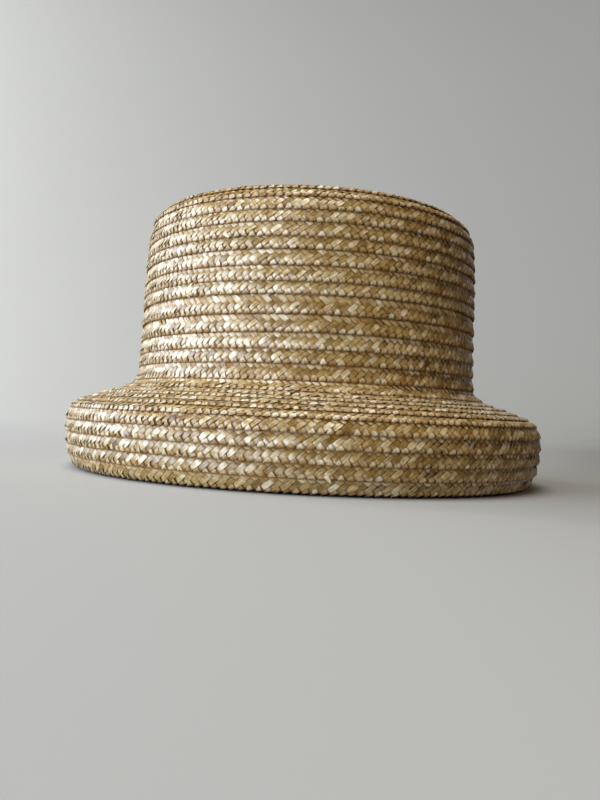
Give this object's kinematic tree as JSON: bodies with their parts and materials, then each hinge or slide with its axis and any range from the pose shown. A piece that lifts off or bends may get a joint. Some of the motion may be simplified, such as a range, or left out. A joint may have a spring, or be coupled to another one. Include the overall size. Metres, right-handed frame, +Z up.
{
  "type": "straw hat",
  "caption": "Sewn straw plait hat with a tall, nearly upright crown, a flat round-edged tip and a short brim that slopes out and turns down; it rests on its brim edge.",
  "frame": {"origin": "on the floor under the middle of the hat, which is the middle of the plane of the brim edge", "axes": "+Z up through the crown's tip, -Y towards the front of the hat, +X to the right as seen from the front"},
  "size_m": [0.2382, 0.2582, 0.1299],
  "materials": {
    "tip_plait": "glossy split straw, plaited and sewn",
    "side_plait": "glossy split straw, plaited and sewn",
    "brim_top_plait": "glossy split straw, plaited and sewn",
    "brim_skirt_plait": "glossy split straw, plaited and sewn"
  },
  "bodies": {
    "root": {"crown_tip": "tip_plait", "crown_side": "side_plait", "brim_top": "brim_top_plait", "brim_skirt": "brim_skirt_plait"}
  },
  "joints": []
}
